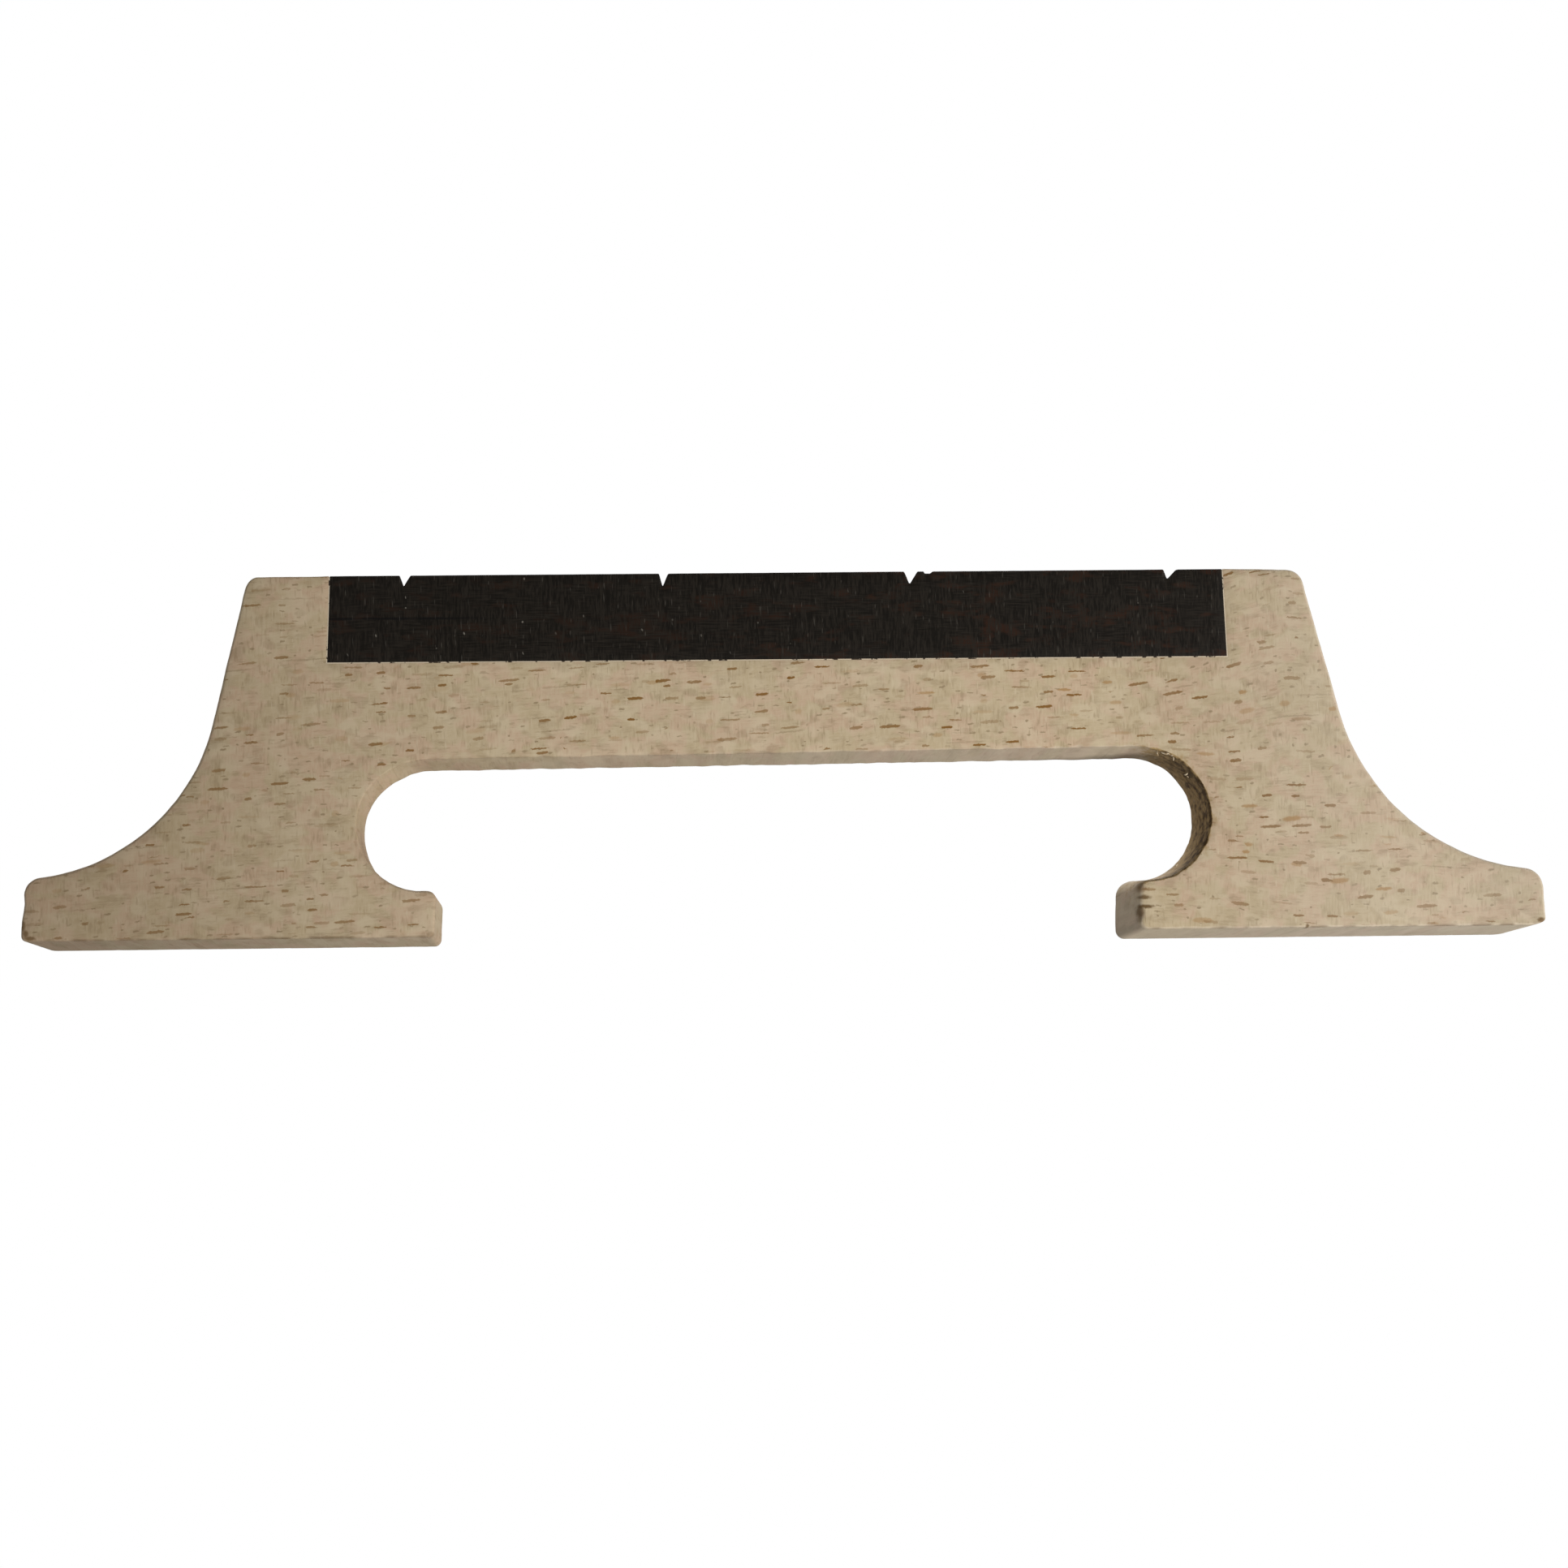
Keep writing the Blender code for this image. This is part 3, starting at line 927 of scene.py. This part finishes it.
def beech():
    """Bare beech: patches, fibres and flecks, then the saw's scorch, dirt, stains and painted shade."""
    g = Graph("beech_bare")
    x, _, z = g.parts(g.place)
    wall = g.attribute("wall")
    on_face = g.minus(1.0, g.times(wall, 0.75))
    broken = g.noise(g.place, (0.8, 3.0, 0.8), 1.0, seed=3.6)
    grain = beech_grain(g, x, z)
    texture = beech_texture(g, grain, broken)
    color = beech_strokes(g, beech_patches(g), texture)
    color, rays = beech_flecks(g, color, grain, broken, x, on_face)
    color = beech_tints_and_painted_shade(g, color, x, wall, on_face)
    color = beech_marks(g, color, broken)
    relief_height = g.minus(texture, g.times(rays, 0.35))
    return g.finished(color, g.span(texture, 0.3, 0.7, 0.76, 0.62), relief_height, BEECH_RELIEF)


def ebony():
    """Dull satin ebony: brown patches, marks across and along it, pores, a crack, dust."""
    g = Graph("ebony_satin")
    x, _, z = g.parts(g.place)
    patch = g.noise(g.place, (1.3, 6, 0.45), 2.5, 0.6, seed=3.3)
    reddish = g.times(g.span(patch, 0.50, 0.68), g.span(x, -12.0, 12.0, 0.5, 0.9))
    color = g.mix(reddish, EBONY["black"], EBONY["brown"])

    # marks that stand upright in some places and run along the bar in others
    crossing = g.noise(g.place, (0.07, 2.0, 0.50), 2.0, 0.6, seed=1.1)
    along = g.noise(g.place, (0.9, 2.0, 0.07), 2.0, 0.6, seed=2.4)
    broken = g.noise(g.place, (0.9, 3.0, 0.7), 1.0, seed=3.6)
    upright = g.span(broken, 0.35, 0.60, 0.25, 1.0)
    texture = g.add(g.times(crossing, upright), g.times(along, g.minus(1.0, upright)))
    color = g.mix(g.span(texture, 0.38, 0.66, 0.0, 1.0), color, EBONY["grey"])
    pores = g.flecks(g.place, (1.7, 9, 0.8), 1.2, 0.04, 0.35, tilt=1, soft=0.8, seed=17.0, blunt=4)
    color = g.mix(g.times(pores, 0.45), color, EBONY["crack"])

    # one long crack, at half height near the left end
    level = g.add(14.0, g.times(along, 0.12))
    off_level = g.math("ABSOLUTE", g.minus(z, level))
    line = g.times(g.span(off_level, 0.03, 0.07, 1.0, 0.0), g.span(x, -15.5, -12.5, 1.0, 0.0))
    color = g.mix(g.times(line, g.span(broken, 0.35, 0.5, 0.3, 0.9)), color, EBONY["crack"])

    # fine pale scratches, and dust that is thicker on the left
    scratches = g.flecks(g.place, (0.30, 5, 0.60), 0.045, 0.40, 0.40, tilt=4, soft=0.9, seed=31.0)
    color = g.mix(g.times(scratches, 0.15), color, EBONY["dust"])
    left = g.span(x, -11.0, 0.0, 0.7, 0.3)
    specks = g.flecks(g.place, (1.3, 5, 0.9), 0.07, 0.15, 0.14, tilt=30, soft=0.9, seed=14.0)
    color = g.mix(g.times(specks, left), color, EBONY["dust"])
    return g.finished(color, g.span(texture, 0.3, 0.7, 0.46, 0.58), texture, EBONY_RELIEF)


def glue():
    g = Graph("dried_glue")
    specks = g.noise(g.place, (0.35, 0.8, 0.35), 2.0, 0.6, seed=5.0)
    color = g.mix(g.span(specks, 0.56, 0.62), GLUE["pale"], GLUE["dark"])
    g.put(g.shader.inputs["Base Color"], color)
    g.shader.inputs["Roughness"].default_value = 0.4
    return g.material


def torn_wood():
    g = Graph("torn_wood")
    streak = g.noise(g.place, (0.15, 0.3, 0.15), 2.0, 0.6, seed=8.8)
    g.put(g.shader.inputs["Base Color"], g.mix(g.span(streak, 0.5, 0.66), TORN["pale"], TORN["brown"]))
    g.shader.inputs["Roughness"].default_value = 0.8
    return g.material


def studio_paper():
    """Pale paper that is seen from above only, because the camera looks from under the soles."""
    material = bpy.data.materials.new("studio_paper")
    material.use_nodes = True
    tree = material.node_tree
    shader = tree.nodes["Principled BSDF"]
    shader.inputs["Base Color"].default_value = (0.86, 0.86, 0.85, 1.0)
    shader.inputs["Roughness"].default_value = 0.9
    clear = tree.nodes.new("ShaderNodeBsdfTransparent")
    side = tree.nodes.new("ShaderNodeNewGeometry")
    mix = tree.nodes.new("ShaderNodeMixShader")
    tree.links.new(side.outputs["Backfacing"], mix.inputs["Fac"])
    tree.links.new(shader.outputs[0], mix.inputs[1])
    tree.links.new(clear.outputs[0], mix.inputs[2])
    tree.links.new(mix.outputs[0], tree.nodes["Material Output"].inputs["Surface"])
    return material


# ---------------------------------------------------------------------------------------------
# Stage
# ---------------------------------------------------------------------------------------------
CAMERA_AT = (-7.49, -153.9, -10.7)
CAMERA_PITCH = 6.53
CAMERA_YAW = -2.753
CAMERA_ROLL = -0.838
CAMERA_LENS = 79.2
FLOOR_SIZE = 1200.0
FLOOR_GAP = 0.02

# The lamps that stand round the bridge, each with its place and its power.
LAMPS = (
    ("key_low", (126, -99, -112), 0.198),
    ("key_side", (160, -120, -30), 0.19),
    ("fill_left", (-170, -70, -40), 0.05),
)
LAMP_AIM = (8, 0, 6)
LAMP_SIZE = 50
SUN_TOWARD = (20, 150, 220)
SUN_STRENGTH = 2.3
SUN_SPREAD = 35
BACKGROUND_SEEN = 1.0
BACKGROUND_LIT = 0.19


def make_camera():
    data = bpy.data.cameras.new("camera")
    data.lens = CAMERA_LENS
    data.sensor_width = 36.0
    data.clip_start = 0.005
    camera = bpy.data.objects.new("camera", data)
    turn = Matrix.Rotation(math.radians(CAMERA_YAW), 4, "Z")
    tip = Matrix.Rotation(math.radians(90 + CAMERA_PITCH), 4, "X")
    roll = Matrix.Rotation(math.radians(CAMERA_ROLL), 4, "Z")
    place = Matrix.Translation(Vector(CAMERA_AT) * MM)
    camera.matrix_world = place @ turn @ tip @ roll
    bpy.context.scene.collection.objects.link(camera)
    bpy.context.scene.camera = camera


def area_light(name, at, power):
    """A soft light at a place, aimed at the bridge."""
    data = bpy.data.lights.new(name, "AREA")
    data.shape = "DISK"
    data.size = LAMP_SIZE * MM
    data.energy = power
    light = bpy.data.objects.new(name, data)
    light.location = Vector(at) * MM
    light.rotation_euler = (Vector(LAMP_AIM) - Vector(at)).to_track_quat("-Z", "Y").to_euler()
    bpy.context.scene.collection.objects.link(light)


def sun_light(name, toward, strength, spread):
    """An even light from far away in a direction, softened over spread degrees."""
    data = bpy.data.lights.new(name, "SUN")
    data.energy = strength
    data.angle = math.radians(spread)
    light = bpy.data.objects.new(name, data)
    light.rotation_euler = Vector(toward).to_track_quat("Z", "Y").to_euler()
    bpy.context.scene.collection.objects.link(light)


def make_world(seen, lit):
    """White behind the object, and a dimmer even light from all round."""
    world = bpy.data.worlds.new("studio")
    world.use_nodes = True
    tree = world.node_tree
    back = tree.nodes["Background"]
    back.inputs["Color"].default_value = (1, 1, 1, 1)
    back.inputs["Strength"].default_value = seen
    around = tree.nodes.new("ShaderNodeBackground")
    around.inputs["Color"].default_value = (0.97, 0.985, 1.0, 1)
    around.inputs["Strength"].default_value = lit
    path = tree.nodes.new("ShaderNodeLightPath")
    mix = tree.nodes.new("ShaderNodeMixShader")
    tree.links.new(path.outputs["Is Camera Ray"], mix.inputs["Fac"])
    tree.links.new(around.outputs[0], mix.inputs[1])
    tree.links.new(back.outputs[0], mix.inputs[2])
    tree.links.new(mix.outputs[0], tree.nodes["World Output"].inputs["Surface"])
    bpy.context.scene.world = world


def make_floor():
    half = FLOOR_SIZE / 2 * MM
    mesh = bpy.data.meshes.new("floor")
    spots = [(-half, -half, 0), (half, -half, 0), (half, half, 0), (-half, half, 0)]
    mesh.from_pydata(spots, [], [(0, 1, 2, 3)])
    mesh.materials.append(studio_paper())
    floor = bpy.data.objects.new("floor", mesh)
    floor.location.z = -FLOOR_GAP * MM
    # only the camera sees it, so it doesn't shade the soles from the light below
    floor.visible_diffuse = False
    floor.visible_glossy = False
    floor.visible_transmission = False
    floor.visible_shadow = False
    bpy.context.scene.collection.objects.link(floor)
    return floor


# ---------------------------------------------------------------------------------------------
# Making it all
# ---------------------------------------------------------------------------------------------
make_camera()

body = plate("bridge_body_worked", body_corners(), beech())
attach(body, "root")
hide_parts("bridge_body")

bar = plate("string_bar_worked", bar_corners(), ebony(), rows=12)
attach(bar, "root")
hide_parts("string_bar")

seam = plate("glue_line", glue_corners(), glue(), rows=4, face_step=2.0, inset=0.004)
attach(seam, "root")

fibres = torn_fibres("torn_fibres", torn_wood())
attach(fibres, "root")

make_floor()
make_world(BACKGROUND_SEEN, BACKGROUND_LIT)
for lamp_name, lamp_at, lamp_power in LAMPS:
    area_light(lamp_name, lamp_at, lamp_power)
sun_light("top_back", SUN_TOWARD, SUN_STRENGTH, SUN_SPREAD)
bpy.context.scene.view_settings.view_transform = "Standard"
